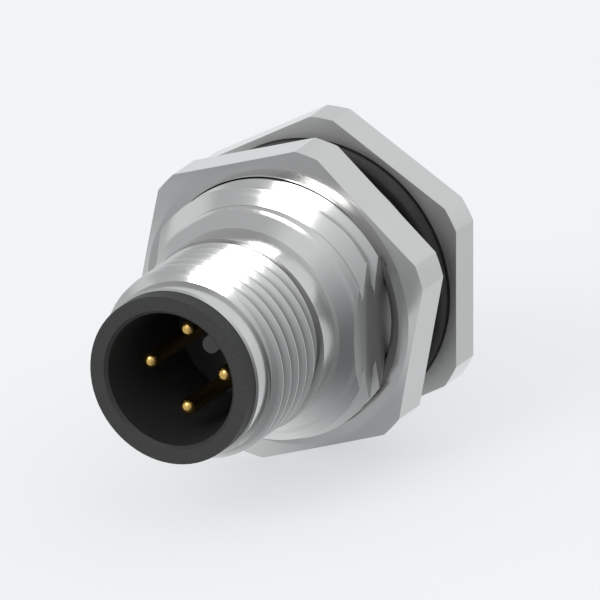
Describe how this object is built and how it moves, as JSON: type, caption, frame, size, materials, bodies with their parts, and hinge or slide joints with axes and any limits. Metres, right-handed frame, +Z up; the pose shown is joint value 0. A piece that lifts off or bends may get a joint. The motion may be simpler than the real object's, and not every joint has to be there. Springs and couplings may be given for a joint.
{
  "type": "m12 connector",
  "caption": "Male circular M12 panel-mount connector with a threaded shell, hexagon flange, seal, lock nut, keyed pin insert and solder cups behind.",
  "frame": {"origin": "on the connector's axis, in the plane of the flange face that the panel seal lies on", "axes": "-Y along the axis, out of the mating face; +X and -X out of two opposite flats of the flange and the two flats of the panel thread; +Z up"},
  "size_m": [0.0192, 0.0314, 0.02],
  "materials": {
    "nickel_plate": "bright nickel plating on turned brass",
    "seal_rubber": "matt black moulded rubber",
    "carrier_plastic": "black glass-filled polyamide, moulded",
    "spring_steel": "stamped spring steel",
    "gold_plate": "gold plating on turned brass"
  },
  "bodies": {
    "connector": {"shell": "nickel_plate", "panel_seal": "seal_rubber", "contact_carrier": "carrier_plastic", "carrier_oring": "seal_rubber", "retaining_ring": "spring_steel", "pin_1": "gold_plate", "pin_2": "gold_plate", "pin_3": "gold_plate", "pin_4": "gold_plate"},
    "nut": {"hex_nut": "nickel_plate"}
  },
  "joints": [
    {"name": "nut_run", "type": "slide", "parent": "connector", "child": "nut", "axis": [0, -1, 0], "range_m": [-0.0015, 0.0195]}
  ]
}
